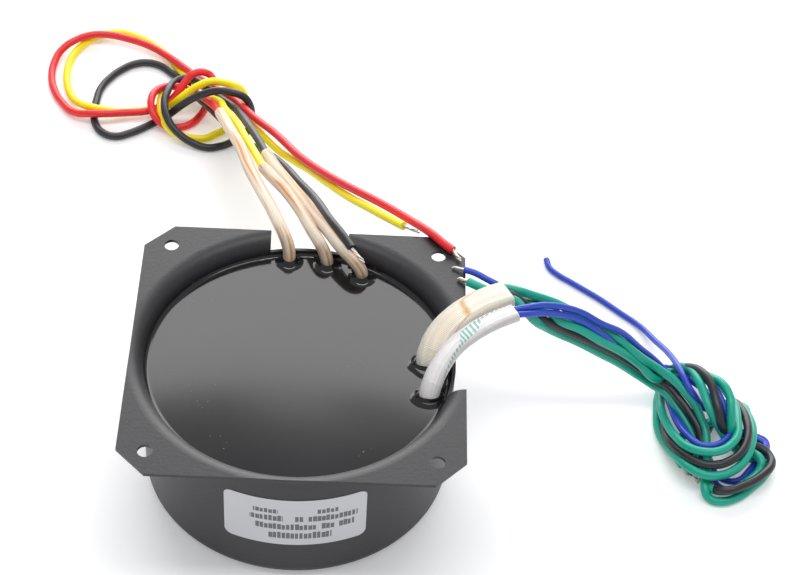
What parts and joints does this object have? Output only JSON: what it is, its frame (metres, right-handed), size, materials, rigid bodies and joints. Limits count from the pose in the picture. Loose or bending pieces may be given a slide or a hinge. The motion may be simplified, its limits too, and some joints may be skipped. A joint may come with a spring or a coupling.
{
  "type": "potted toroidal transformer",
  "caption": "Potted toroidal transformer in a black pressed steel can with a square bolt flange, a silver label, sleeved leads and two knots of red, yellow, black, green and blue wire.",
  "frame": {"origin": "centre of the can's closed end, on the surface that the transformer stands on", "axes": "+Z along the can's axis, from the closed end to the flange and its open mouth; the label is on the -Y side, the primary leads leave to +Y and the secondary leads to +X"},
  "size_m": [0.2523, 0.2543, 0.0549],
  "materials": {
    "can_paint": "satin",
    "resin": "gloss",
    "label_film": "satin",
    "varnished_sleeve": "satin",
    "striped_sleeve": "satin",
    "red_pvc": "satin",
    "yellow_pvc": "satin",
    "black_pvc": "satin",
    "green_pvc": "satin",
    "blue_pvc": "satin",
    "tinned_copper": "satin",
    "core_steel": "matte",
    "copper_wire": "gloss",
    "film": "satin"
  },
  "bodies": {
    "root": {"can": "can_paint", "potting_resin": "resin", "core": "core_steel", "core_wrap": "film", "primary_winding": "copper_wire", "primary_wrap": "film", "secondary_winding": "copper_wire", "secondary_wrap": "film", "auxiliary_winding": "copper_wire", "outer_wrap": "film", "rating_label": "label_film", "primary_sleeve_red": "varnished_sleeve", "primary_sleeve_yellow": "varnished_sleeve", "primary_sleeve_black": "varnished_sleeve", "secondary_sleeve_wide": "varnished_sleeve", "secondary_sleeve_striped": "striped_sleeve", "red_lead": "red_pvc", "red_lead_loop": "red_pvc", "red_lead_end": "red_pvc", "yellow_lead": "yellow_pvc", "yellow_lead_loop": "yellow_pvc", "yellow_lead_end": "yellow_pvc", "black_lead": "black_pvc", "black_lead_loop": "black_pvc", "black_lead_end": "black_pvc", "green_lead_1": "green_pvc", "green_lead_1_end": "green_pvc", "centre_tap_lead": "black_pvc", "centre_tap_lead_end": "black_pvc", "green_lead_2": "green_pvc", "green_lead_2_end": "green_pvc", "blue_lead_1": "blue_pvc", "blue_lead_1_end": "blue_pvc", "blue_lead_2": "blue_pvc", "blue_lead_2_end": "blue_pvc", "red_tip": "tinned_copper", "yellow_tip": "tinned_copper", "black_tip": "tinned_copper", "green_tip_1": "tinned_copper", "centre_tap_tip": "tinned_copper", "green_tip_2": "tinned_copper", "blue_tip_1": "tinned_copper", "blue_tip_2": "tinned_copper", "primary_knot": "red_pvc", "secondary_knot": "green_pvc"}
  },
  "joints": []
}
